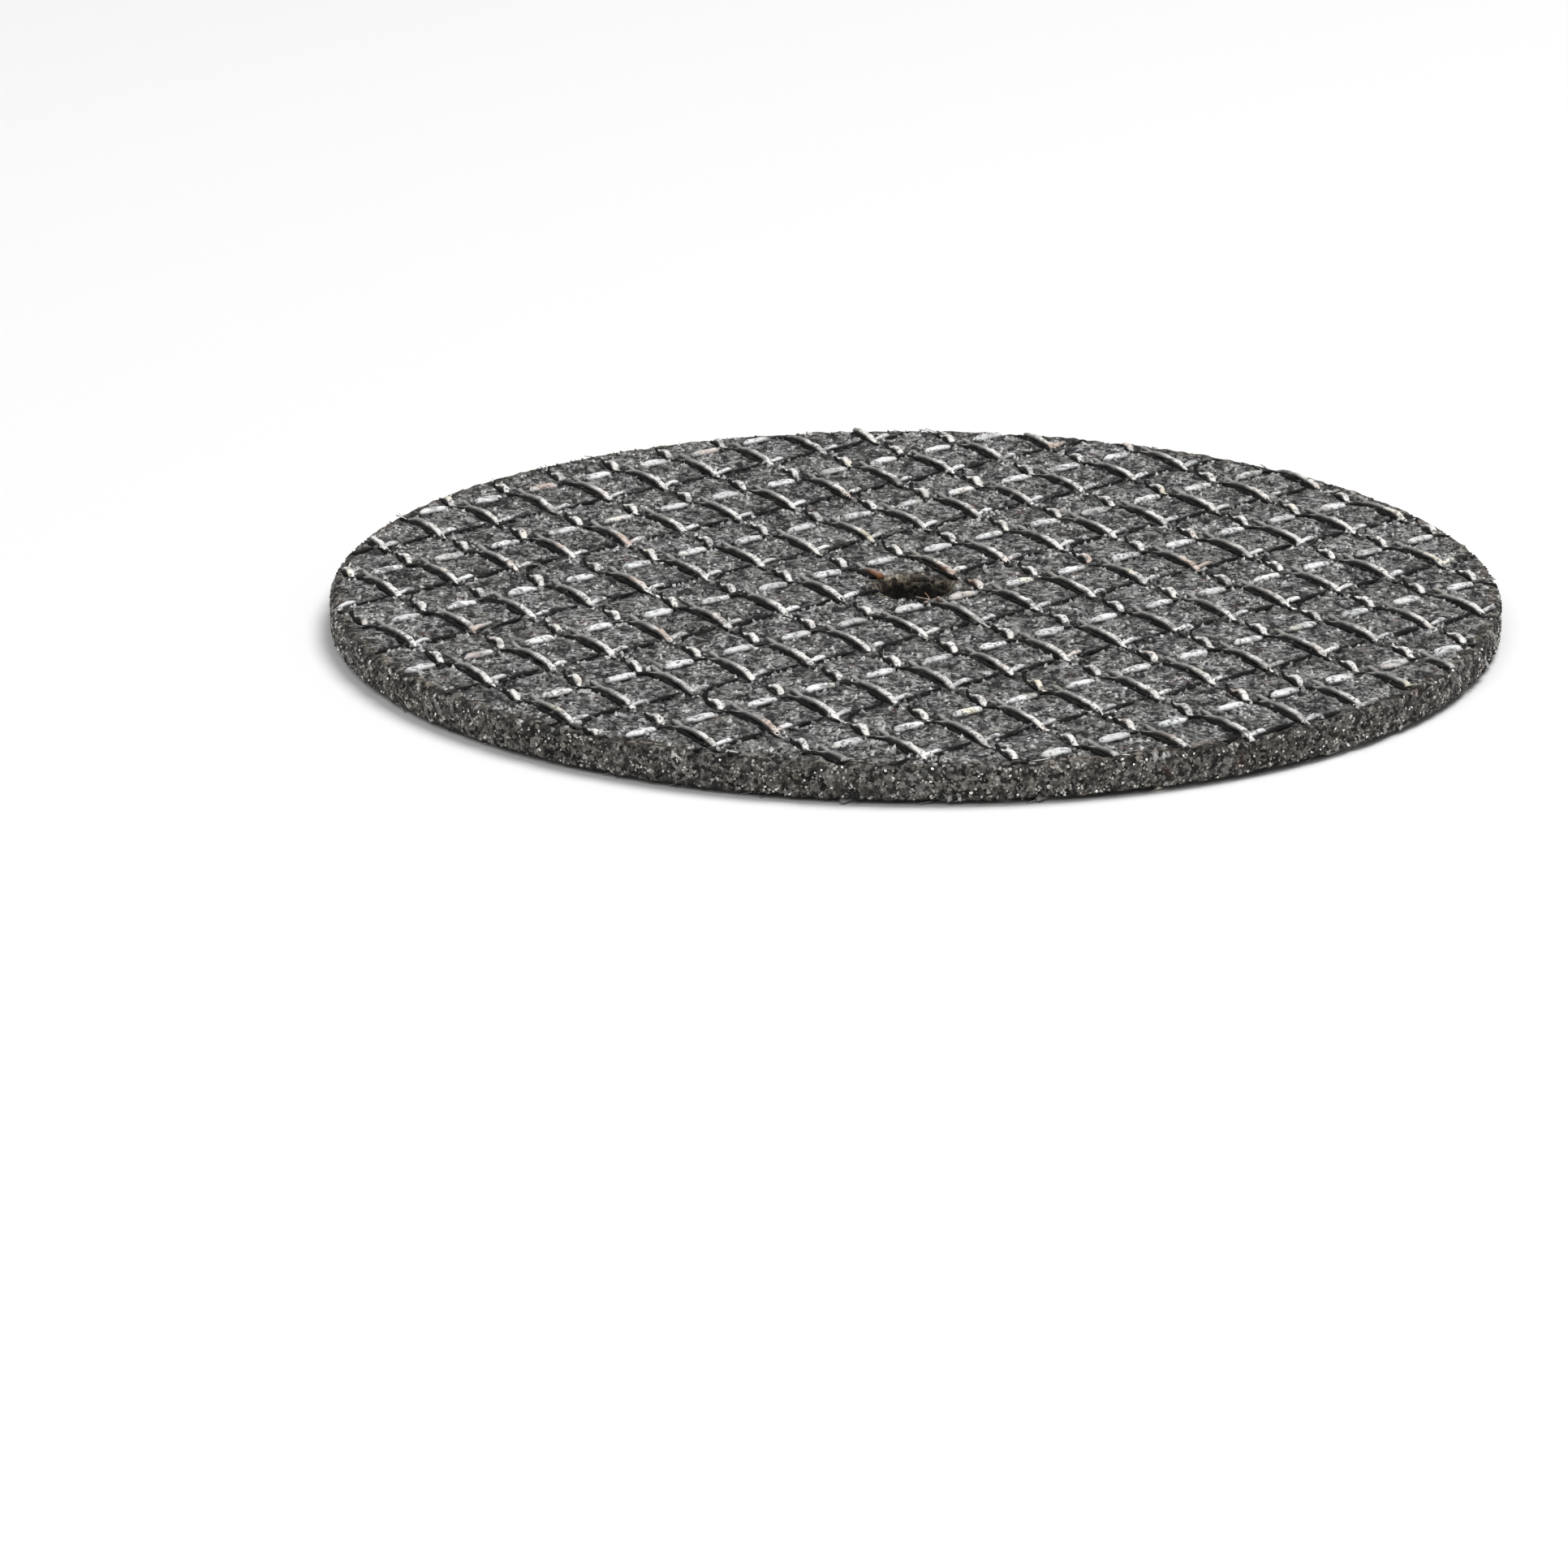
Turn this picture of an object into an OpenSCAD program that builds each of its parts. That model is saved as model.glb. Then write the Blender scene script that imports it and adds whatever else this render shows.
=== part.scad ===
// Reinforced cut-off wheel for a small rotary tool.
// A thin disc of bonded abrasive with a coarse woven glass mesh pressed into each face.
// The wheel lies flat: its axis is Z, its lowest mesh crowns touch Z = 0, and the bore is on the origin.

/* [Wheel] */
// Outside diameter of the wheel
wheel_d = 32; // [24:0.5:44]
// Thickness over the mesh crowns of both faces
wheel_t = 1.2; // [1:0.05:2]
// Rounding where each face meets the cutting rim
edge_r = 0.16; // [0.05:0.01:0.25]

/* [Bore] */
// Diameter of the mandrel hole
bore_d = 2; // [1.6:0.1:4]

/* [Mesh] */
// Distance from one crossing to the next, along both sets of strands
mesh_pitch = 1.98; // [1.8:0.02:3]
// Direction of the weft strands, turned from +X
weft_angle = 40.6; // [0:0.1:90]
// Angle from the weft strands to the warp strands
mesh_skew = 84.1; // [78:0.1:102]
// Place of one crossing along X, from the bore axis
mesh_x = -0.46; // [-1.5:0.01:1.5]
// Place of one crossing along Y, from the bore axis
mesh_y = -0.07; // [-1.5:0.01:1.5]
// Width of bare grit between the mesh and the rim
rim_land = 0.3; // [0.25:0.05:1]
// Width of bare grit between the mesh and the bore
bore_land = 0.2; // [0.15:0.05:1]

/* [Warp] */
// Width of a warp strand
warp_w = 0.22; // [0.15:0.01:0.35]
// Length of a long float, where a warp rides over every second weft
long_len = 1.95; // [1.5:0.05:2.1]
// Length by which a long float reaches back past that weft
long_back = 0.15; // [0.1:0.01:0.4]
// Length over which a long float climbs to its crown, and dives again
long_climb = 0.5; // [0.2:0.05:0.7]
// Height of a long float's crown above the grit
long_crown = 0.14; // [0.1:0.01:0.2]
// Length of a short float, where a warp shows again before the next long one
short_len = 0.8; // [0.5:0.05:1]
// Distance from the other wefts to the start of a short float
short_start = 0.24; // [0.2:0.01:0.5]
// Distance by which a short float lies aside from its warp
short_aside = 0.12; // [0:0.01:0.2]
// Angle by which a short float slants off its warp
short_slant = 16; // [0:1:25]
// Height of a short float's crown above the grit
short_crown = 0.11; // [0.08:0.01:0.2]

/* [Weft] */
// Width of a weft strand, a flat roving that dives under every warp
weft_w = 0.3; // [0.2:0.01:0.5]
// Height of a weft's crown above the grit
weft_crown = 0.12; // [0.08:0.01:0.2]
// Width of grit between a long float's flank and the weft that it rides over
beside_gap = 0.05; // [0.03:0.01:0.15]
// Length over which that weft shows, close beside the float
beside_len = 0.45; // [0.35:0.05:0.8]
// Width of grit between a warp and the start of each other weft
midway_gap = 0.2; // [0.1:0.01:0.4]
// Length over which each other weft shows, midway between two warps
midway_len = 0.95; // [0.7:0.05:1.2]
// Length over which a weft or a short float climbs out of the grit
climb = 0.1; // [0.05:0.01:0.14]

/* [Hidden] */

$fn = 96;
wheel_r = wheel_d / 2;
bore_r = bore_d / 2;
crown = max(long_crown, short_crown, weft_crown);
body_t = wheel_t - 2 * crown;
mesh_r = wheel_r - rim_land;
clear_r = bore_r + bore_land;
warp_angle = weft_angle + mesh_skew;
weft_dir = [cos(weft_angle), sin(weft_angle)];
warp_dir = [cos(warp_angle), sin(warp_angle)];
rows = 2 * ceil(wheel_r / (mesh_pitch * sin(mesh_skew)) / 2) + 2;
// from a crossing along the weft to the flank of its warp
flank = warp_w / 2 / sin(mesh_skew);
// a strand that the rim or the bore cuts shorter than this is left out
least = 0.34;
// depth to which a strand is bonded into the grit
sunk = 0.1;
edge_steps = 3;
grey = [0.36, 0.36, 0.35];

// the crossing of warp i and weft j
function crossing(i, j) = [mesh_x, mesh_y] + mesh_pitch * (i * weft_dir + j * warp_dir);

// the two ends of a line through c along d where it leaves a circle of radius r about the bore
function chord(c, d, r) =
    let (b = c * d, q = b * b - c * c + r * r)
    q > 0 ? [-b - sqrt(q), -b + sqrt(q)] : [];

// the stretches of a strand from lo to hi that stay clear of the rim and of the bore
function clear(c, d, lo, hi) =
    let (rim = chord(c, d, mesh_r), hole = chord(c, d, clear_r))
    rim == [] ? [] :
    let (a = max(lo, rim[0]), b = min(hi, rim[1]))
    hole == [] ? [[a, b]] : [[a, min(b, hole[0])], [max(a, hole[1]), b]];

// the strands from lo to hi on a line through c at an angle, each as its middle, its angle and its length
function strands(c, angle, lo, hi) =
    let (d = [cos(angle), sin(angle)])
    [for (s = clear(c, d, lo, hi)) if (s[1] - s[0] >= least) [c + d * (s[0] + s[1]) / 2, angle, s[1] - s[0]]];

// every warp rides over the even wefts
long_floats = [
    for (i = [-rows:rows], j = [-rows:2:rows])
        each strands(crossing(i, j), warp_angle, -long_back, long_len - long_back)
];

// past each odd weft it shows once more, aside and on the slant
short_floats = [
    for (i = [-rows:rows], j = [-rows + 1:2:rows])
        let (middle = crossing(i, j) + (short_start + short_len / 2) * warp_dir - short_aside * weft_dir)
        each strands(middle, warp_angle - short_slant, -short_len / 2, short_len / 2)
];

// the even wefts show beside a warp, and the odd ones midway between two
wefts = [
    for (i = [-rows:rows], j = [-rows:rows])
        let (
            even = j % 2 == 0,
            lo = flank + (even ? beside_gap : midway_gap),
            hi = lo + (even ? beside_len : midway_len)
        )
        each strands(crossing(i, j), weft_angle, lo, hi)
];

// lays one strand in its place, w wide, with the side view that its child draws
module laid(strand, w) {
    translate(strand[0])
        rotate(strand[1])
            rotate([90, 0, 0])
                linear_extrude(w, center = true)
                    children();
}

// side view of a strand that climbs out of the grit over a length c, lies level at h and dives again
module hump(len, c, h) {
    tip = len / 2;
    top = tip - min(c, len / 3);
    polygon([[-tip, -sunk], [-tip, 0], [-top, h], [top, h], [tip, 0], [tip, -sunk]]);
}

module mesh() {
    for (s = long_floats)
        laid(s, warp_w)
            hump(s[2], long_climb, long_crown);
    for (s = short_floats)
        laid(s, warp_w)
            hump(s[2], climb, short_crown);
    for (s = wefts)
        laid(s, weft_w)
            hump(s[2], climb, weft_crown);
}

// a point on the rounding of the rim, at angle a round a centre at height z
function edge(a, z) = [wheel_r - edge_r + edge_r * cos(a), z + edge_r * sin(a)];

// the bonded disc with its bore, turned about Z
module disc() {
    lower = [for (k = [0:edge_steps]) edge(90 * k / edge_steps - 90, edge_r)];
    upper = [for (k = [0:edge_steps]) edge(90 * k / edge_steps, body_t - edge_r)];
    rotate_extrude()
        polygon(concat([[bore_r, 0]], lower, upper, [[bore_r, body_t]]));
}

module cut_off_wheel() {
    color(grey)
        translate([0, 0, crown]) {
            disc();
            translate([0, 0, body_t])
                mesh();
            rotate([180, 0, 0])
                mesh();
        }
}

cut_off_wheel();
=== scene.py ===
"""Looks of a mesh-reinforced cut-off wheel that lies on a pale floor.

A gritty bonded disc, with woven glass strands, hollows with near-black strips of painted shadow, grains and
stray fibres on both faces.
Points are in millimetres until new_piece makes a mesh of them.
"""

import math
import random

import bpy
import numpy as np
from mathutils import Matrix, Vector, noise


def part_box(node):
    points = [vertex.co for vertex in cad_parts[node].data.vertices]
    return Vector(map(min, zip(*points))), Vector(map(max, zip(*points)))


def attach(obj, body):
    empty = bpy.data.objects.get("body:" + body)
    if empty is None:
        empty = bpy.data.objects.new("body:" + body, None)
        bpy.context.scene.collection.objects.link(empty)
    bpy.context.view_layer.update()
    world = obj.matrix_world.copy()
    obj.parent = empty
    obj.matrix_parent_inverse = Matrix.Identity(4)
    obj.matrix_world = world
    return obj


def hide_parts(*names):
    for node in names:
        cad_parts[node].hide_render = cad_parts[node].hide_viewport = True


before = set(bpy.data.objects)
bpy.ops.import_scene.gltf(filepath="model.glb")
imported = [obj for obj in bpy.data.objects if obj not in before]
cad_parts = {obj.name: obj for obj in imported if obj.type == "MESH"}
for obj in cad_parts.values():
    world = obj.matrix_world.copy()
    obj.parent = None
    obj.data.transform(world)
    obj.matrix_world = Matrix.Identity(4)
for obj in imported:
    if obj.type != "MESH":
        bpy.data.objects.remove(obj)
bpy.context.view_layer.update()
_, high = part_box("cut_off_wheel")

MM = 0.001
IMAGE_W, IMAGE_H = 1932, 1924
# seeded chance: rng for single draws, dice for whole arrays
rng = random.Random(7)
dice = np.random.default_rng(7)

# the disc, tied to the solid where that gives a size
WHEEL_R = high.x / MM
WHEEL_T = high.z / MM
BORE_R = 1.0
CROWN = 0.14
CROWN_LIMIT = CROWN - 0.003
FACE_LOW = CROWN
FACE_HIGH = WHEEL_T - CROWN
EDGE_R = 0.16
EDGE_STEPS = 3
RIM_LAND = 0.25
MESH_R = WHEEL_R - RIM_LAND

# rings of the disc's surface: distance from ring to ring, and from point to point along a ring
LOWER_RING, LOWER_GAP = 0.2, 0.21
UPPER_RING, UPPER_GAP = 0.16, 0.165
RIM_RING, RIM_GAP = 0.09, 0.12
EDGE_GAP = 0.13
BORE_RINGS, BORE_GAP = 6, 0.14
LEAST_POINTS = 40

# the grit: its roughness on the faces and the rim, the rise of its pale clumps, the hollows beside strands
FACE_ROUGH, RIM_ROUGH = 0.02, 0.05
CLUMP_RISE = 0.045
HOLLOW_DEPTH = 0.03
FACE_LIFT, FACE_PEAK = 0.006, 0.03
BORE_LIP = 0.02

# its grains: how many, their half sizes, the reach of their corners, and how tall they stand on a face
UPPER_GRAINS, LOWER_GRAINS, RIM_GRAINS = 22000, 16000, 9000
FACE_GRAIN, RIM_GRAIN = (0.065, 0.125), (0.035, 0.065)
GRAIN_REACH = (0.7, 1.2)
GRAIN_TALL = 1.45

# the woven mesh: its lattice, and the half sizes of its strands
PITCH = 1.98
WEFT_ANGLE = math.radians(40.6)
MESH_SKEW = math.radians(84.1)
WARP_ANGLE = WEFT_ANGLE + MESH_SKEW
MESH_AT = np.array([-0.55, -0.15])
WEFT_DIR = np.array([math.cos(WEFT_ANGLE), math.sin(WEFT_ANGLE)])
WARP_DIR = np.array([math.cos(WARP_ANGLE), math.sin(WARP_ANGLE)])
LATTICE = np.linalg.inv(np.stack([WEFT_DIR, WARP_DIR], axis=1) * PITCH)
ROWS = range(-10, 11)
EVEN_ROWS = range(-10, 11, 2)
WARP_HALF_W, WARP_HALF_H = 0.105, 0.1
MIDWAY_HALF_W, WEFT_HALF_H = 0.21, 0.09
# half height of the near-black strips of painted shadow
SHADOW_HALF_H = 0.04
FIBRE_R = 0.016
STRAND_ROUGH = 0.32
# dimming: painted shade on the upper half of a long stretch, and a set dullness of the twin strand
LONG_DIMMING, TWIN_DIMMING = 0.85, 0.78
# how far a warp's cut ends vary, at the rim and before and after the bore
RIM_CUT, BEFORE_BORE, AFTER_BORE = (-0.12, 0.2), (0.35, 0.5), (0.0, 0.15)
# how finely the tubes are cut: step along a warp, rings of the short ones, sides
WARP_STEP = 0.11
WEFT_RINGS, TWIN_RINGS, FIBRE_RINGS = 12, 9, 6
SIDES, SHADOW_SIDES = 10, 6

# one repeat of a warp is two pitches: place along it, sideways shift in pitches, crown above the grit
WARP_PATH = (
    (0.0, 0.01, 0.085), (0.12, 0.03, 0.132), (0.3, 0.058, 0.136), (0.5, 0.078, 0.132),
    (0.7, 0.088, 0.112), (0.85, 0.085, 0.085), (0.95, 0.05, 0.01), (1.05, -0.02, -0.03),
    (1.18, -0.04, -0.02), (1.25, -0.015, 0.1), (1.33, 0.01, 0.116), (1.42, 0.035, 0.106),
    (1.52, 0.05, 0.02), (1.7, 0.03, -0.03), (1.9, 0.01, -0.02), (2.0, 0.01, 0.085))
LONG_END = 1.1
# the warp's dull twin, past the long stretch: place along it, sideways place, crown, half width
TWIN = (
    (0.84, 0.085, 0.05, 0.06), (0.9, 0.095, 0.088, 0.08), (0.98, 0.107, 0.095, 0.09),
    (1.08, 0.13, 0.088, 0.08), (1.17, 0.155, 0.04, 0.05))
# where a weft shows in each pitch, midway between two warps or close beside one: place, crown, half width
WEFT_MIDWAY = (
    (0.27, 0.05, 0.05), (0.31, 0.1, 0.14), (0.37, 0.116, 0.19), (0.49, 0.122, 0.21),
    (0.62, 0.114, 0.19), (0.71, 0.095, 0.14), (0.75, 0.05, 0.05))
WEFT_BESIDE = (
    (0.0, 0.03, 0.06), (0.06, 0.06, 0.09), (0.13, 0.095, 0.1), (0.2, 0.118, 0.11),
    (0.26, 0.118, 0.1), (0.3, 0.08, 0.05))
# painted shadow in the hollows of one repeat: place along the weft, place along the warp, half width
SHADOW_LONG = (
    (-0.08, -0.28, 0.04), (-0.07, -0.15, 0.07), (-0.06, 0.03, 0.06), (-0.035, 0.25, 0.11),
    (-0.01, 0.5, 0.13), (0.0, 0.75, 0.13), (0.0, 0.9, 0.12), (-0.04, 1.0, 0.12),
    (-0.1, 1.04, 0.1), (-0.2, 1.04, 0.06))
SHADOW_HOOK = (
    (-0.12, -0.82, 0.04), (-0.09, -0.7, 0.06), (-0.04, -0.5, 0.06), (0.02, -0.36, 0.05),
    (0.1, -0.23, 0.06), (0.2, -0.12, 0.07), (0.35, -0.05, 0.1), (0.5, -0.01, 0.12),
    (0.65, 0.0, 0.12), (0.78, 0.02, 0.08), (0.86, 0.05, 0.04))

NOISE_SHIFT = (17.3, -9.1, 4.7)


def lumps(p, size, seed):
    """Smooth noise from -1 to 1 at a point in millimetres, with features of about that size."""
    return noise.noise(Vector([c / size + shift * seed for c, shift in zip(p, NOISE_SHIFT)]))


def smooth(a, b, x):
    """Rises softly from 0 at a to 1 at b."""
    t = min(max((x - a) / (b - a), 0.0), 1.0)
    return t * t * (3 - 2 * t)


def near_whole(x):
    return abs(x - round(x))


def along(path, t):
    """The values of a path of control points at place t."""
    places = [p[0] for p in path]
    return [float(np.interp(t, places, column)) for column in list(zip(*path))[1:]]


def warp_line(b):
    """Sideways shift and crown of a warp at place b: a long proud stretch, then a short slanting one."""
    return along(WARP_PATH, b % 2.0)


def at_crossing(a, b):
    """The point on a face that lies a pitches along the weft and b along the warp."""
    return MESH_AT + PITCH * (a * WEFT_DIR + b * WARP_DIR)


def on_face(p, upper):
    """A point drawn above the upper face's grit, on that face or turned over onto the lower one."""
    x, y, z = p
    return (x, y, FACE_HIGH + z) if upper else (x, -y, FACE_LOW - z)


def new_piece(name, verts, faces, material, values=None, smooth_shade=True):
    """A mesh object from points in millimetres, with one number per point for each named value."""
    mesh = bpy.data.meshes.new(name)
    mesh.from_pydata((np.asarray(verts) * MM).tolist(), [], faces)
    mesh.update()
    for key, data in (values or {}).items():
        layer = mesh.attributes.new(key, "FLOAT", "POINT")
        layer.data.foreach_set("value", np.asarray(data, np.float32))
    mesh.polygons.foreach_set("use_smooth", [smooth_shade] * len(mesh.polygons))
    mesh.materials.append(material)
    piece = bpy.data.objects.new(name, mesh)
    bpy.context.collection.objects.link(piece)
    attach(piece, "root")
    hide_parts("cut_off_wheel")


# helpers for materials

def nodes_of(name):
    material = bpy.data.materials.new(name)
    material.use_nodes = True
    tree = material.node_tree
    return material, tree, tree.nodes["Principled BSDF"]


def add(tree, kind, **sockets):
    """A node with its settings and its sockets' values."""
    node = tree.nodes.new(kind)
    for key, value in sockets.items():
        if hasattr(node, key):
            setattr(node, key, value)
        else:
            node.inputs[key.replace("_", " ")].default_value = value
    return node


def grey(v):
    return (v, v, v)


def ramp(tree, source, stops):
    node = tree.nodes.new("ShaderNodeValToRGB")
    band = node.color_ramp
    while len(band.elements) < len(stops):
        band.elements.new(0.5)
    for element, (place, colour) in zip(band.elements, stops):
        element.position = place
        element.color = (*colour, 1)
    tree.links.new(source, node.inputs["Fac"])
    return node.outputs["Color"]


def place_mm(tree):
    """The point in the part's own frame, in millimetres."""
    at = tree.nodes.new("ShaderNodeTexCoord")
    scale = add(tree, "ShaderNodeVectorMath", operation="SCALE")
    scale.inputs["Scale"].default_value = 1 / MM
    tree.links.new(at.outputs["Object"], scale.inputs[0])
    return scale.outputs["Vector"]


def value_of(tree, name):
    """One of the numbers that new_piece stored on the points."""
    node = tree.nodes.new("ShaderNodeAttribute")
    node.attribute_name = name
    return node.outputs["Fac"]


def mixed(tree, factor, a, b, blend="MIX"):
    node = tree.nodes.new("ShaderNodeMix")
    node.data_type = "RGBA"
    node.blend_type = blend
    for socket, item in ((node.inputs["Factor"], factor), (node.inputs["A"], a), (node.inputs["B"], b)):
        if isinstance(item, (int, float)):
            socket.default_value = item
        elif isinstance(item, tuple):
            socket.default_value = (*item, 1)
        else:
            tree.links.new(item, socket)
    return node.outputs["Result"]


def multiplied(tree, a, b):
    return mixed(tree, 1.0, a, b, "MULTIPLY")


def texture(tree, kind, where, size, **settings):
    node = add(tree, kind, **settings)
    node.inputs["Scale"].default_value = 1 / size
    tree.links.new(where, node.inputs["Vector"])
    return node


def channel(tree, cells, name):
    """One channel of the random colour of a texture's cells."""
    node = add(tree, "ShaderNodeSeparateColor")
    tree.links.new(cells.outputs["Color"], node.inputs["Color"])
    return node.outputs[name]


def scaled(tree, source, factors):
    node = add(tree, "ShaderNodeVectorMath", operation="MULTIPLY")
    node.inputs[1].default_value = factors
    tree.links.new(source, node.inputs[0])
    return node.outputs["Vector"]


def add_bump(tree, shader, source, strength, depth, inward=False):
    bump = add(tree, "ShaderNodeBump", Strength=strength, Distance=depth * MM)
    bump.invert = inward
    tree.links.new(source, bump.inputs["Height"])
    tree.links.new(bump.outputs["Normal"], shader.inputs["Normal"])


# materials

GRIT_TONES = [
    (0.0, grey(0.012)), (0.2, grey(0.05)), (0.5, (0.182, 0.181, 0.176)), (0.8, (0.37, 0.368, 0.364)),
    (0.95, (0.45, 0.45, 0.445)), (1.0, (0.54, 0.54, 0.53))]
RIM_TONES = [
    (0.0, grey(0.008)), (0.3, grey(0.04)), (0.55, (0.138, 0.131, 0.117)), (0.8, (0.365, 0.347, 0.315)),
    (0.92, (0.52, 0.5, 0.46)), (1.0, (0.95, 0.93, 0.89))]


def abrasive_material():
    """Grit in its bond, browner at the bore and the rim, with painted shade in the hollows, in the low
    places between clumps and down the bore.
    """
    material, tree, shader = nodes_of("bonded_grit")
    where = place_mm(tree)
    grains = texture(tree, "ShaderNodeTexVoronoi", where, 0.12)
    fine = texture(tree, "ShaderNodeTexVoronoi", where, 0.06)
    patch = texture(tree, "ShaderNodeTexNoise", where, 0.9, Detail=3.0)
    speck = texture(tree, "ShaderNodeTexVoronoi", where, 0.3)
    stone = channel(tree, grains, "Red")
    tone = ramp(tree, stone, GRIT_TONES)
    dimming = ramp(tree, channel(tree, fine, "Green"), [
        (0.0, grey(0.36)), (0.6, grey(0.62)), (1.0, grey(1.0))])
    tone = multiplied(tree, tone, dimming)
    tint = ramp(tree, patch.outputs["Fac"], [
        (0.3, (0.78, 0.76, 0.70)), (0.5, (1.0, 1.0, 0.99)), (0.7, (1.16, 1.17, 1.2))])
    tone = multiplied(tree, tone, tint)
    red = ramp(tree, channel(tree, speck, "Blue"), [(0.985, grey(0.0)), (0.99, grey(0.3))])
    tone = mixed(tree, red, tone, (0.13, 0.05, 0.045))
    reach = add(tree, "ShaderNodeVectorMath", operation="LENGTH")
    tree.links.new(scaled(tree, where, (1 / WHEEL_R, 1 / WHEEL_R, 0)), reach.inputs[0])
    bore_share = BORE_R / WHEEL_R
    scorch = ramp(tree, reach.outputs["Value"], [
        (bore_share, (0.95, 0.8, 0.62)), (1.5 * bore_share, grey(1.0)), (0.965, grey(1.0)),
        (0.98, (0.75, 0.66, 0.57)), (0.992, (0.68, 0.645, 0.6))])
    tone = multiplied(tree, tone, scorch)
    # painted shade in the hollows beside the strands, in the low places between clumps and down the bore
    painted_shade = ramp(tree, value_of(tree, "painted_shade"), [(0.0, grey(1.0)), (0.8, grey(0.3)), (1.0, grey(0.06))])
    tone = multiplied(tree, tone, painted_shade)
    tree.links.new(tone, shader.inputs["Base Color"])
    rough = ramp(tree, stone, [(0.5, grey(0.9)), (0.95, grey(0.5))])
    tree.links.new(rough, shader.inputs["Roughness"])
    shader.inputs["Specular IOR Level"].default_value = 0.2
    add_bump(tree, shader, grains.outputs["Distance"], 0.7, 0.03, inward=True)
    return material


def strand_material(name, tint_colour, foot_colour, foot_top):
    """Glass filaments that are stained, dirty, dimmed in places and peppered with grit, with painted shade
    at the foot and on one flank.
    """
    material, tree, shader = nodes_of(name)
    where = place_mm(tree)
    run = tree.nodes.new("ShaderNodeCombineXYZ")
    for key, socket in (("along", "X"), ("around", "Y"), ("strand", "Z")):
        tree.links.new(value_of(tree, key), run.inputs[socket])
    filaments = texture(
        tree, "ShaderNodeTexNoise", scaled(tree, run.outputs["Vector"], (0.9, 26.0, 7.0)), 1.0, Detail=3.0)
    tint = texture(tree, "ShaderNodeTexNoise", where, 1.7, Detail=4.0)
    dirt = texture(tree, "ShaderNodeTexNoise", where, 0.35, Detail=3.0)
    specks = texture(tree, "ShaderNodeTexNoise", where, 0.11, Detail=2.0)
    worn = texture(tree, "ShaderNodeTexNoise", where, 1.1, Detail=1.0)
    tone = ramp(tree, filaments.outputs["Fac"], [(0.3, grey(0.7)), (0.5, grey(0.93)), (0.65, grey(1.0))])
    tone = multiplied(tree, tone, tint_colour)
    stain = ramp(tree, tint.outputs["Fac"], [
        (0.3, (0.72, 0.55, 0.47)), (0.4, (1.0, 0.98, 0.96)), (0.6, grey(1.0)), (0.7, (1.0, 0.92, 0.72))])
    tone = multiplied(tree, tone, stain)
    cover = ramp(tree, dirt.outputs["Fac"], [(0.54, grey(0.0)), (0.68, grey(0.8))])
    tone = mixed(tree, cover, tone, (0.17, 0.167, 0.16))
    wear = ramp(tree, worn.outputs["Fac"], [(0.32, grey(0.6)), (0.46, grey(1.0))])
    tone = multiplied(tree, tone, wear)
    peppered = ramp(tree, specks.outputs["Fac"], [(0.555, grey(0.0)), (0.635, grey(0.85))])
    tone = mixed(tree, peppered, tone, (0.06, 0.058, 0.055))
    # painted shade on the upper half of each long warp stretch; the twin is dulled evenly, each weft by a
    # random amount
    dimming = ramp(tree, value_of(tree, "dimming"), [(0.0, grey(0.0)), (1.0, grey(1.0))])
    tone = mixed(tree, dimming, tone, (0.16, 0.157, 0.15))
    # painted shade at the foot of each strand, where it meets the grit
    foot = ramp(tree, value_of(tree, "around"), [(0.42, grey(1.0)), (foot_top, grey(0.0))])
    tone = mixed(tree, foot, tone, foot_colour)
    # painted shade on the flank turned away from the key lamp
    flank = ramp(tree, value_of(tree, "side"), [(0.55, grey(0.0)), (0.86, grey(1.0))])
    tone = mixed(tree, flank, tone, (0.008, 0.0075, 0.007))
    brown = ramp(tree, value_of(tree, "bore"), [(0.0, grey(0.0)), (1.0, grey(0.85))])
    tone = mixed(tree, brown, tone, (0.26, 0.10, 0.035))
    tree.links.new(tone, shader.inputs["Base Color"])
    rough = ramp(tree, dirt.outputs["Fac"], [(0.4, grey(0.26)), (0.62, grey(0.7))])
    tree.links.new(rough, shader.inputs["Roughness"])
    add_bump(tree, shader, filaments.outputs["Fac"], 0.55, 0.02)
    return material


def shadow_material():
    """Near-black strips of painted shadow."""
    material, tree, shader = nodes_of("painted_shadow")
    patch = texture(tree, "ShaderNodeTexNoise", place_mm(tree), 0.25, Detail=3.0)
    tone = ramp(tree, patch.outputs["Fac"], [
        (0.4, grey(0.004)), (0.6, (0.01, 0.0095, 0.009)), (0.75, (0.05, 0.047, 0.043))])
    tree.links.new(tone, shader.inputs["Base Color"])
    shader.inputs["Roughness"].default_value = 0.8
    shader.inputs["Specular IOR Level"].default_value = 0.05
    add_bump(tree, shader, patch.outputs["Fac"], 0.5, 0.02)
    return material


def grain_material(name, tones, shine):
    """Single grains, each of its own tone; the palest glint."""
    material, tree, shader = nodes_of(name)
    fine = texture(tree, "ShaderNodeTexNoise", place_mm(tree), 0.2, Detail=2.0)
    shade = ramp(tree, fine.outputs["Fac"], [(0.3, grey(0.8)), (0.7, grey(1.15))])
    tone = multiplied(tree, ramp(tree, value_of(tree, "tone"), tones), shade)
    tree.links.new(tone, shader.inputs["Base Color"])
    rough = ramp(tree, value_of(tree, "tone"), [(0.6, grey(0.8)), (0.95, grey(0.4))])
    tree.links.new(rough, shader.inputs["Roughness"])
    glint = ramp(tree, value_of(tree, "tone"), [(0.95, grey(0.0)), (0.98, grey(shine))])
    tree.links.new(glint, shader.inputs["Metallic"])
    shader.inputs["Specular IOR Level"].default_value = 0.3
    return material


# the bonded disc

def clump(x, y):
    """How far the grit is clumped up, from -1 to 1, at a place on a face."""
    return lumps((x, y / 1.6, 0), 0.28, 11)


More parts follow.
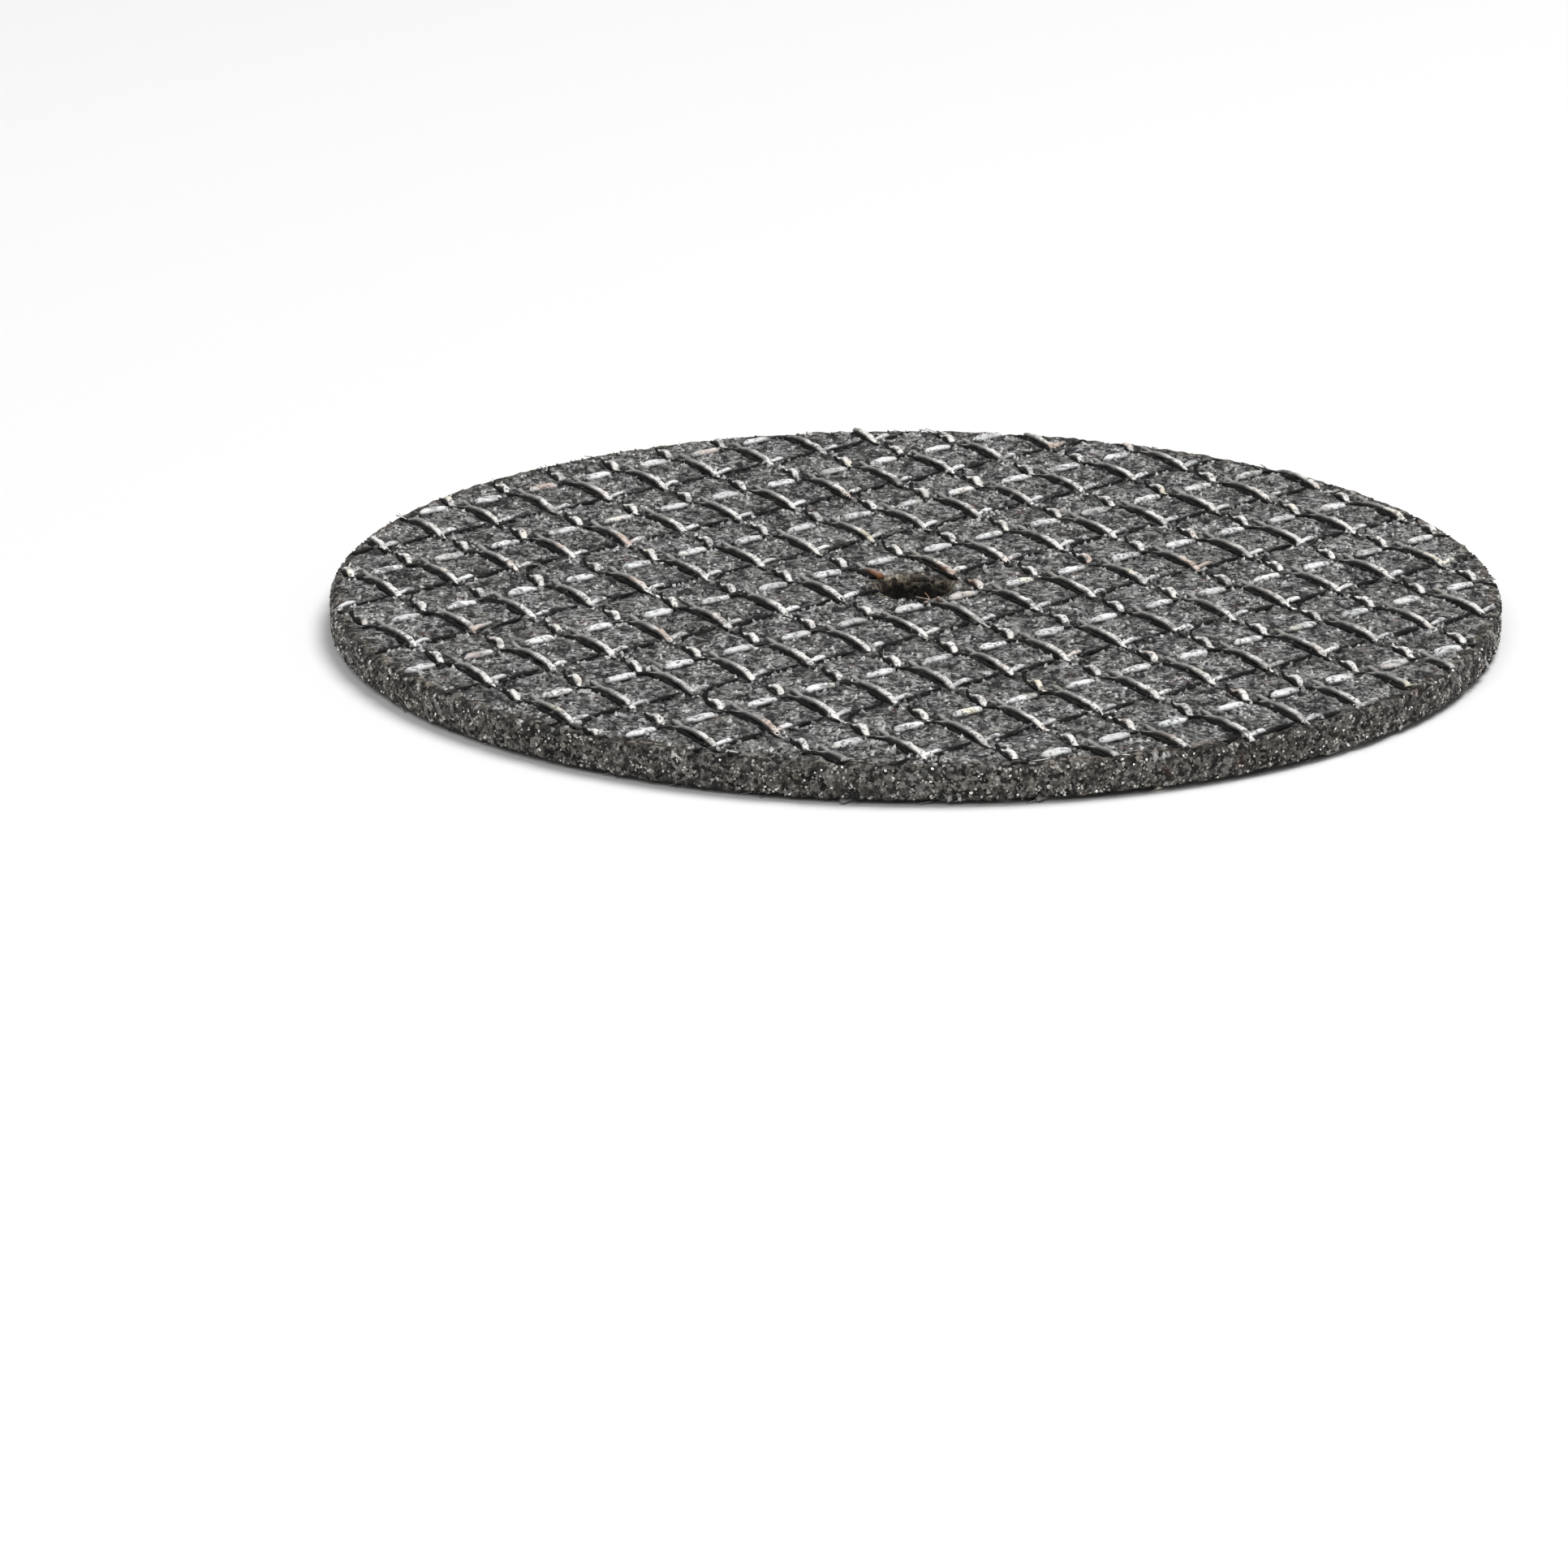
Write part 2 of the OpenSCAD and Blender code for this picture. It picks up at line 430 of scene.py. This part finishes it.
def strand_shade(x, y):
    """0 on open grit, up to 1 in the hollow beside a strand, where the grit gets painted shade."""
    a, b = LATTICE @ (np.array((x, y)) - MESH_AT)
    shift, _ = warp_line(b)
    d = min(near_whole(a - shift + 0.05), near_whole(b)) * PITCH
    return math.exp(-((d - 0.12) / 0.12) ** 2) if d > 0.12 else 1.0


def chip(x, y):
    """Depth by which the grit has broken away at the bore's upper edge, most at its near and far sides."""
    r = math.hypot(x, y)
    far = 0.17 * x / r + 0.985 * y / r
    depth, reach = (0.13, 0.6) if far > 0 else (0.2, 0.7)
    return depth * far ** 2 * (1 - smooth(BORE_R, BORE_R + reach, r))


def nick(p):
    """Depth of the small breaks in the cutting rim at a point."""
    return 0.22 * max(0.0, lumps(p, 0.5, 14) - 0.08)


def ring_points(r, z, count, out_r, out_z, rough):
    """One ring of the disc's surface, each point moved along the outward direction by its grit, with the
    painted shade of each point.
    """
    points, painted_shades = [], []
    for k in range(count):
        angle = 2 * math.pi * k / count
        cos, sin = math.cos(angle), math.sin(angle)
        x, y = r * cos, r * sin
        p = (x, y, z)
        coarse = lumps(p, 0.55, 1)
        grit = lumps(p, 0.17, 2)
        pit = min(0.0, lumps(p, 0.3, 3) + 0.25)
        push = rough * (0.35 * coarse + 0.8 * grit + 0.7 * pit)
        level, painted_shade = z, 0.0
        if out_z:
            side = y if out_z > 0 else -y
            if BORE_R + 0.1 < r < MESH_R + 0.1:
                painted_shade = strand_shade(x, side)
            rise = clump(x, side)
            push += CLUMP_RISE * rise - HOLLOW_DEPTH * painted_shade + FACE_LIFT
            # painted shade beside the strands and in the low places between clumps
            painted_shade = max(0.8 * painted_shade, 0.6 * smooth(0.05, 0.45, -rise))
            if out_z > 0:
                push -= chip(x, y)
        if out_r == -1:
            level = min(z, FACE_HIGH - chip(x, y) - BORE_LIP)
            # painted shade, darker the deeper down the bore
            painted_shade = smooth(0.1, 0.4, FACE_HIGH - level)
        if out_r > 0.3:
            push = -abs(push) - rough + 0.2 * rough * coarse - nick(p)
        push = min(push, FACE_PEAK if abs(out_z) == 1 else 0.0)
        reach = r + push * out_r
        points.append((reach * cos, reach * sin, level + push * out_z))
        painted_shades.append(painted_shade)
    return points, painted_shades


def edge_ring(share, face, inward):
    """A ring on the rounding of the rim; inward is +1 or -1, the way from that face into the disc."""
    t = math.pi / 2 * share
    r = WHEEL_R - EDGE_R + EDGE_R * math.sin(t)
    z = face + inward * EDGE_R * (1 - math.cos(t))
    return r, z, math.sin(t), -inward * math.cos(t), EDGE_GAP


def disc_profile():
    """The disc's section, once round from the bore: radius, height, outward direction and spacing."""
    section = []
    r = BORE_R + 0.03
    while r < WHEEL_R - EDGE_R:
        section.append((r, FACE_LOW, 0, -1, LOWER_GAP))
        r += LOWER_RING
    for k in range(EDGE_STEPS + 1):
        section.append(edge_ring(k / EDGE_STEPS, FACE_LOW, 1))
    z = FACE_LOW + EDGE_R + RIM_RING
    while z < FACE_HIGH - EDGE_R - 0.05:
        section.append((WHEEL_R, z, 1, 0, RIM_GAP))
        z += RIM_RING
    for k in range(EDGE_STEPS + 1):
        section.append(edge_ring(1 - k / EDGE_STEPS, FACE_HIGH, -1))
    r = WHEEL_R - EDGE_R - UPPER_RING
    while r > BORE_R + 0.05:
        section.append((r, FACE_HIGH, 0, 1, UPPER_GAP))
        r -= UPPER_RING
    for k in range(1, BORE_RINGS):
        section.append((BORE_R, FACE_HIGH + (FACE_LOW - FACE_HIGH) * k / BORE_RINGS, -1, 0, BORE_GAP))
    return section


def disc_mesh():
    """The whole disc as one closed surface, stitched from ring to ring."""
    verts, painted_shades, rings, faces = [], [], [], []
    for r, z, out_r, out_z, gap in disc_profile():
        count = max(LEAST_POINTS, round(2 * math.pi * r / gap))
        rough = RIM_ROUGH if out_r > 0.3 else FACE_ROUGH
        points, painted_shade = ring_points(r, z, count, out_r, out_z, rough)
        rings.append((len(verts), count))
        verts += points
        painted_shades += painted_shade
    for (sa, na), (sb, nb) in zip(rings, rings[1:] + rings[:1]):
        i = j = 0
        while i < na or j < nb:
            if j >= nb or (i < na and (i + 1) * nb <= (j + 1) * na):
                faces.append((sa + i % na, sa + (i + 1) % na, sb + j % nb))
                i += 1
            else:
                faces.append((sa + i % na, sb + (j + 1) % nb, sb + j % nb))
                j += 1
    return verts, faces, {"painted_shade": painted_shades}


# the woven strands, drawn in face coordinates: x and y on the face, z above its grit

VALUE_NAMES = ("along", "around", "side", "strand", "bore", "dimming")


def no_tubes():
    return [], [], {name: [] for name in VALUE_NAMES}


def turned_onto(tubes, upper):
    verts, faces, values = tubes
    return [on_face(p, upper) for p in verts], faces, values


def tube(tubes, path, half_w, half_h, number=0.0, lean=0.0, dimming=None, sides=SIDES, rough=0.0):
    """Adds one closed tube along a path; number tells strands apart and the lean picks the flank that gets
    painted shade.
    """
    verts, faces, values = tubes
    start = len(verts)
    n = len(path)
    far = 0.0
    for k in range(n):
        p = np.array(path[k])
        ahead = np.array(path[min(k + 1, n - 1)]) - np.array(path[max(k - 1, 0)])
        ahead /= np.linalg.norm(ahead)
        side = np.cross((0, 0, 1), ahead)
        side /= np.linalg.norm(side)
        up = np.cross(ahead, side)
        if k:
            far += float(np.linalg.norm(p - np.array(path[k - 1])))
        bore = 1 - smooth(BORE_R + 0.25, BORE_R + 1.0, math.hypot(p[0], p[1]))
        for s in range(sides):
            t = 2 * math.pi * s / sides - math.pi / 2
            q = side * half_w[k] * math.cos(t) + up * half_h[k] * math.sin(t)
            q = p + q * (1 + rough * lumps(p + q, 0.16, 21))
            verts.append((q[0], q[1], min(q[2], CROWN_LIMIT)))
            around = abs((s / sides + 0.5) % 1.0 - 0.5) * 2
            row = (far, around, lean * math.cos(t), number, bore, dimming[k] if dimming else 0.0)
            for name, value in zip(VALUE_NAMES, row):
                values[name].append(value)
    for k in range(n - 1):
        for s in range(sides):
            a, b = start + k * sides + s, start + k * sides + (s + 1) % sides
            faces.append((a, b, b + sides, a + sides))
    faces.append(tuple(start + s for s in reversed(range(sides))))
    faces.append(tuple(start + (n - 1) * sides + s for s in range(sides)))


def clear_of_ends(path, bore_gap, rim_gap):
    """Whether a path stays so far outside the bore, and no further than so far past the mesh's edge."""
    reach = [math.hypot(q[0], q[1]) for q in path]
    return min(reach) > BORE_R + bore_gap and max(reach) < MESH_R + rim_gap


def runs(c, d):
    """The stretches of the line through c along d between the rim and the bore, with uneven ends."""
    mid = float(c @ d)
    inside = mid * mid - float(c @ c) + MESH_R ** 2
    if inside <= 0.5:
        return []
    lo = -mid - math.sqrt(inside) + rng.uniform(*RIM_CUT)
    hi = -mid + math.sqrt(inside) - rng.uniform(*RIM_CUT)
    hole = mid * mid - float(c @ c) + (BORE_R + 0.08) ** 2
    if hole <= 0:
        return [(lo, hi)]
    before = -mid - math.sqrt(hole) - rng.uniform(*BEFORE_BORE)
    after = -mid + math.sqrt(hole) + rng.uniform(*AFTER_BORE)
    return [(lo, before), (after, hi)]


def warp_stretch(c, i, lo, hi, seed):
    """Points, half widths and dimming of warp i from lo to hi along its line through c, the dimming being
    painted shade on the upper half of each long stretch.
    """
    side_dir = np.array((-WARP_DIR[1], WARP_DIR[0]))
    count = max(4, int((hi - lo) / WARP_STEP))
    path, half_w, dimming = [], [], []
    for k in range(count + 1):
        t = lo + (hi - lo) * k / count
        place = t / PITCH % 2.0
        on_long = place < LONG_END
        shift, crown = warp_line(place)
        offset = 0.035 * lumps((t, 7.0 * i, 0), 3.0, seed) + 0.03 * lumps((t, 3.0 * i, 0), 0.35, seed)
        thick = 1 + 0.12 * lumps((t, 5.0 * i, 3), 1.2, seed) + 0.16 * lumps((t, 4.0 * i, 3), 0.22, seed)
        thick *= 1.1 - 0.3 * smooth(0.2, 0.9, place) * on_long
        crown += 0.012 * lumps((t, 2.0 * i, 5), 0.8, seed) + 0.01 * lumps((t, 2.5 * i, 5), 0.22, seed)
        crown -= 0.02 * (1 - smooth(0.0, 0.5, min(k, count - k) * WARP_STEP))
        xy = c + WARP_DIR * t + side_dir * (offset - shift * PITCH)
        path.append((*xy, min(crown, CROWN_LIMIT) - WARP_HALF_H))
        half_w.append(WARP_HALF_W * thick)
        # painted shade on the upper half of each long stretch
        dimming.append(LONG_DIMMING * smooth(0.3, 0.6, place) * on_long)
    return path, half_w, dimming


def twin_stretch(i, j, seed):
    """Points and half widths of the twin that shows past the long stretch of warp i over weft j."""
    path, half_w = [], []
    for b in np.linspace(TWIN[0][0], TWIN[-1][0], TWIN_RINGS):
        a, crown, half = along(TWIN, b)
        xy = at_crossing(i + a, j + b)
        path.append((*xy, crown + 0.02 * lumps((*xy, 4), 0.6, seed) - WARP_HALF_H))
        half_w.append(half)
    return path, half_w


def warps(upper, ends):
    """All warps of one face; ends collects where they are cut and which way they point."""
    tubes = no_tubes()
    seed = 1 if upper else 2
    for i in ROWS:
        c = MESH_AT + i * PITCH * WEFT_DIR
        for lo, hi in runs(c, WARP_DIR):
            path, half_w, dimming = warp_stretch(c, i, lo, hi, seed)
            half_h = [WARP_HALF_H] * len(path)
            tube(tubes, path, half_w, half_h, i * 1.7 + seed, 1.0, dimming, rough=STRAND_ROUGH)
            ends += [(path[0], -WARP_DIR), (path[-1], WARP_DIR)]
        for j in EVEN_ROWS:
            path, half_w = twin_stretch(i, j, seed)
            if clear_of_ends(path, 0.2, 0.0):
                half_h, dimming = [WARP_HALF_H] * len(path), [TWIN_DIMMING] * len(path)
                tube(tubes, path, half_w, half_h, i * 1.7 + j, 1.0, dimming, rough=STRAND_ROUGH)
    return turned_onto(tubes, upper)


def wefts(upper):
    """The stretches of every weft of one face that show between two warps."""
    tubes = no_tubes()
    seed = 5 if upper else 6
    for i in ROWS:
        for j in ROWS:
            # the lean picks which flank of a weft gets painted shade; the midway ones get none
            shape, lean = (WEFT_MIDWAY, 0.0) if j % 2 else (WEFT_BESIDE, -0.7)
            slip = rng.uniform(-0.03, 0.03)
            lift = rng.uniform(-0.022, 0.012)
            broad = rng.uniform(0.8, 1.12)
            dull = max(0.0, rng.uniform(-0.5, 0.3))
            path, half_w, half_h = [], [], []
            for a in np.linspace(shape[0][0], shape[-1][0], WEFT_RINGS):
                crown, half = along(shape, a)
                xy = at_crossing(i + a + slip, j)
                tall = WEFT_HALF_H * min(1.0, 0.35 + half / MIDWAY_HALF_W)
                crown += lift + 0.012 * lumps((*xy, 0), 0.22, seed)
                path.append((*xy, min(crown, CROWN_LIMIT) - tall))
                half_w.append(half * broad * (1 + 0.2 * lumps((*xy, 2), 0.3, seed)))
                half_h.append(tall)
            if clear_of_ends(path, 0.1, 0.1):
                dimming = [dull] * len(path)
                tube(tubes, path, half_w, half_h, i * 3.1 + j, lean, dimming, rough=STRAND_ROUGH)
    return turned_onto(tubes, upper)


def turned(d, angle):
    cos, sin = math.cos(angle), math.sin(angle)
    return np.array((d[0] * cos - d[1] * sin, d[0] * sin + d[1] * cos))


def fibres(ends, upper):
    """Stray glass fibres that fray out of the cut ends at the rim and the bore."""
    tubes = no_tubes()
    radii = [FIBRE_R] * FIBRE_RINGS
    for (x, y, _), run_dir in ends:
        for _ in range(rng.randint(1, 3)):
            ahead = turned(run_dir, rng.uniform(-0.9, 0.9))
            bend = rng.uniform(-0.3, 0.3) * np.array((-ahead[1], ahead[0]))
            length = rng.uniform(0.25, 0.6)
            low_z, high_z = rng.uniform(0.0, 0.05), rng.uniform(0.03, 0.1)
            path = []
            for t in np.linspace(0, 1, FIBRE_RINGS):
                xy = np.array((x, y)) - 0.15 * run_dir + length * (t * ahead + t * t * bend)
                path.append((*xy, low_z + (high_z - low_z) * t))
            if clear_of_ends(path, 0.03, RIM_LAND - 0.06):
                tube(tubes, path, radii, radii, length)
    return turned_onto(tubes, upper)


def shadow_strips(upper):
    """Near-black strips of painted shadow in the hollows beside the proud stretches and where every second
    weft dives.
    """
    tubes = no_tubes()
    for i in ROWS:
        for j in EVEN_ROWS:
            for strip in (SHADOW_LONG, SHADOW_HOOK):
                reach = np.linspace(0, len(strip) - 1, 3 * len(strip))
                a, b, w = (np.interp(reach, np.arange(len(strip)), column) for column in zip(*strip))
                points = [at_crossing(i + a[k], j + b[k]) for k in range(len(reach))]
                # the strip of painted shadow ends at the bore and the rim, and may go on past the bore
                stretch = []
                for k, xy in enumerate(points + [None]):
                    if xy is not None and clear_of_ends([xy], 0.2, 0.05):
                        level = 0.015 - SHADOW_HALF_H + 0.035 * lumps((*xy, 0), 0.45, 9)
                        half = w[k] * (1.05 + 0.45 * lumps((*xy, 1), 0.5, 8))
                        stretch.append(((*xy, level), half))
                        continue
                    if len(stretch) > 3:
                        path, half_w = zip(*stretch)
                        tube(tubes, path, half_w, [SHADOW_HALF_H] * len(path), sides=SHADOW_SIDES)
                    stretch = []
    return turned_onto(tubes, upper)


# grains that stand out of the bond

def grain_mesh(at, size, tone, tall=1.0):
    """One eight-sided grain of its own shape, turn and size at each point."""
    n = len(size)
    corners = np.array(((1, 0, 0), (-1, 0, 0), (0, 1, 0), (0, -1, 0), (0, 0, 1), (0, 0, -1)), float)
    upper_sides = ((0, 2, 4), (2, 1, 4), (1, 3, 4), (3, 0, 4))
    lower_sides = ((2, 0, 5), (1, 2, 5), (3, 1, 5), (0, 3, 5))
    sides = np.array(upper_sides + lower_sides)
    turn = np.linalg.qr(dice.normal(size=(n, 3, 3)))[0]
    turn *= np.sign(np.linalg.det(turn))[:, None, None]
    local = corners[None] * (size[:, None] * dice.uniform(*GRAIN_REACH, (n, 6)))[:, :, None]
    verts = at[:, None, :] + np.einsum("nij,nkj->nki", turn, local) * np.array((1, 1, tall))
    faces = sides[None] + 6 * np.arange(n)[:, None, None]
    return verts.reshape(-1, 3), faces.reshape(-1, 3).tolist(), {"tone": np.repeat(tone, 6)}


def in_hollow(xy):
    """Which points lie on a proud warp or in one of the hollows, where shadow is painted."""
    a, b = LATTICE @ (xy - MESH_AT).T
    t = b % 2.0
    shift = np.interp(t, [p[0] for p in WARP_PATH], [p[1] for p in WARP_PATH])
    left = (a - shift + 0.5) % 1.0 - 0.5
    beside = (left > -0.17) & (left < 0.04) & (t > 0.05) & (t < 1.62)
    dive = (np.abs(t - 2.0 * (t > 1.0)) < 0.07) & (a % 1.0 > 0.3) & (a % 1.0 < 0.9)
    return beside | dive


def face_grains(count, upper):
    """Grains all over one face, few in the hollows and none where the bore's edge has broken away; those in
    the hollows are darkened as painted shade.
    """
    r = np.sqrt(dice.uniform((BORE_R + 0.12) ** 2, (WHEEL_R - 0.12) ** 2, count))
    angle = dice.uniform(0, 2 * math.pi, count)
    xy = np.stack([r * np.cos(angle), r * np.sin(angle)], axis=1)
    hollow = in_hollow(xy)
    kept = ~hollow | (dice.uniform(size=count) < 0.15)
    kept &= np.array([chip(*p) < 0.03 for p in xy])
    xy, hollow = xy[kept], hollow[kept]
    size = dice.uniform(*FACE_GRAIN, len(xy))
    rise = np.array([clump(*p) for p in xy])
    z = size * dice.uniform(-0.7, 0.0, len(xy)) + CLUMP_RISE * rise - 0.05 * hollow
    z = np.minimum(z, CROWN - 0.015 - GRAIN_REACH[1] * GRAIN_TALL * size)
    z -= 0.06 * (np.hypot(*xy.T) > WHEEL_R - 0.3)
    at = np.array([on_face((*p, h), upper) for p, h in zip(xy, z)])
    tone = np.clip(0.47 + 1.1 * rise + 0.6 * dice.uniform(-1, 1, len(xy)) ** 3, 0, 1)
    # grains in the hollows get painted shade
    return grain_mesh(at, size, tone * (1 - 0.6 * hollow), GRAIN_TALL)


def rim_grains(count):
    """Grains all round the rim, in blotches of like tone, with a few that glint."""
    angle = dice.uniform(0, 2 * math.pi, count)
    size = dice.uniform(*RIM_GRAIN, count)
    z = dice.uniform(FACE_LOW + 0.06, FACE_HIGH - 0.06, count)
    at = np.stack([WHEEL_R * np.cos(angle), WHEEL_R * np.sin(angle), z], axis=1)
    middle, half_t = (FACE_LOW + FACE_HIGH) / 2, (FACE_HIGH - FACE_LOW) / 2
    edge = np.maximum(np.abs(z - middle) - half_t + EDGE_R, 0)
    r = WHEEL_R - 0.01 - 1.25 * size - EDGE_R + np.sqrt(EDGE_R ** 2 - edge ** 2)
    r -= np.array([nick(p) for p in at])
    blotch = np.array([lumps(p, 0.24, 15) for p in at])
    tone = np.clip(0.48 + 0.95 * blotch + 0.35 * dice.uniform(-1, 1, count), 0, 0.94)
    tone = np.where(dice.uniform(size=count) < 0.04, 1.0, tone)
    return grain_mesh(np.stack([r * np.cos(angle), r * np.sin(angle), z], axis=1), size, tone)


# the pieces

grit = abrasive_material()
# painted shade at the strands' feet: near-black on the warps, grey on the wefts
cream_glass = strand_material("glass_warp", (1.0, 0.985, 0.955), (0.02, 0.019, 0.017), 0.6)
white_glass = strand_material("glass_weft", (0.97, 0.99, 1.0), (0.15, 0.15, 0.15), 0.78)
face_stone = grain_material("face_grain", GRIT_TONES, 0.1)
rim_stone = grain_material("rim_grain", RIM_TONES, 0.55)
shadow_paint = shadow_material()

verts, faces, values = disc_mesh()
new_piece("abrasive_disc", verts, faces, grit, values)
for upper, face_name, grain_count in ((True, "upper", UPPER_GRAINS), (False, "lower", LOWER_GRAINS)):
    ends = []
    verts, faces, values = warps(upper, ends)
    new_piece(f"glass_warps_{face_name}", verts, faces, cream_glass, values)
    verts, faces, values = wefts(upper)
    new_piece(f"glass_wefts_{face_name}", verts, faces, white_glass, values)
    verts, faces, values = fibres(ends, upper)
    new_piece(f"stray_fibres_{face_name}", verts, faces, cream_glass, values)
    # near-black strips of painted shadow in the hollows beside the strands
    verts, faces, _ = shadow_strips(upper)
    new_piece(f"painted_shadow_strips_{face_name}", verts, faces, shadow_paint)
    verts, faces, values = face_grains(grain_count, upper)
    new_piece(f"grit_grains_{face_name}", verts, faces, face_stone, values)
verts, faces, values = rim_grains(RIM_GRAINS)
new_piece("grit_grains_rim", verts, faces, rim_stone, values, smooth_shade=False)


# stage, light and camera, in metres

def stage_floor(half):
    material, _, shader = nodes_of("floor")
    shader.inputs["Base Color"].default_value = (0.93, 0.93, 0.93, 1)
    shader.inputs["Roughness"].default_value = 0.9
    shader.inputs["Specular IOR Level"].default_value = 0.1
    corners = [(-half, -half, 0), (half, -half, 0), (half, half, 0), (-half, half, 0)]
    mesh = bpy.data.meshes.new("floor")
    mesh.from_pydata(corners, [], [(0, 1, 2, 3)])
    mesh.materials.append(material)
    floor = bpy.data.objects.new("floor", mesh)
    bpy.context.collection.objects.link(floor)


def lamp(name, at, aim, size, power):
    data = bpy.data.lights.new(name, "AREA")
    data.shape = "DISK"
    data.size = size
    data.energy = power
    item = bpy.data.objects.new(name, data)
    item.location = at
    item.rotation_euler = (Vector(aim) - Vector(at)).to_track_quat("-Z", "Y").to_euler()
    bpy.context.collection.objects.link(item)


def greatest(tree, a, b):
    node = add(tree, "ShaderNodeMath", operation="MAXIMUM")
    tree.links.new(a, node.inputs[0])
    tree.links.new(b, node.inputs[1])
    return node.outputs["Value"]


def world_light(strength):
    """A soft white surround of that strength, which is plain white where it is seen."""
    world = bpy.data.worlds.new("studio")
    bpy.context.scene.world = world
    world.use_nodes = True
    tree = world.node_tree
    back = tree.nodes["Background"]
    back.inputs["Color"].default_value = (1, 1, 1, 1)
    path = tree.nodes.new("ShaderNodeLightPath")
    bounced = greatest(tree, path.outputs["Is Glossy Ray"], path.outputs["Is Transmission Ray"])
    seen = greatest(tree, path.outputs["Is Camera Ray"], bounced)
    level = tree.nodes.new("ShaderNodeMapRange")
    level.inputs["To Min"].default_value = strength
    level.inputs["To Max"].default_value = 1.0
    tree.links.new(seen, level.inputs["Value"])
    tree.links.new(level.outputs["Result"], back.inputs["Strength"])


def photo_camera():
    """A long lens from in front and a little above, with the wheel's middle at its place in the picture."""
    focal_px = 8000.0
    wheel_px_x, wheel_px_y = 1127.3, 719.8
    distance = 11.099 * WHEEL_R * MM
    elevation = math.radians(16.66)
    roll = math.radians(-0.49)
    sensor_mm = 36
    aim = Vector((0, 0, FACE_HIGH * MM))
    at = aim + distance * Vector((0, -math.cos(elevation), math.sin(elevation)))
    look = (aim - at).to_track_quat("-Z", "Y").to_matrix()
    right, up = wheel_px_x - IMAGE_W / 2, IMAGE_H / 2 - wheel_px_y
    ray = Vector((right / focal_px, up / focal_px, -1)).normalized()
    bring = ray.rotation_difference(Vector((0, 0, -1))).to_matrix()
    turn = look @ Matrix.Rotation(-roll, 3, "Z") @ bring
    data = bpy.data.cameras.new("camera")
    data.sensor_width = sensor_mm
    data.lens = sensor_mm * focal_px / IMAGE_W
    data.clip_start, data.clip_end = 0.005, 20
    camera = bpy.data.objects.new("camera", data)
    camera.location = at
    camera.rotation_euler = turn.to_euler()
    bpy.context.collection.objects.link(camera)
    bpy.context.scene.camera = camera


stage_floor(1.5)
world_light(0.22)
lamp("key", (0.13, 0.04, 0.4), (0, 0, 0), 0.26, 1.4)
lamp("fill", (-0.1, -0.3, 0.3), (0, 0, 0), 0.3, 0.6)
photo_camera()
bpy.context.scene.view_settings.view_transform = "Standard"
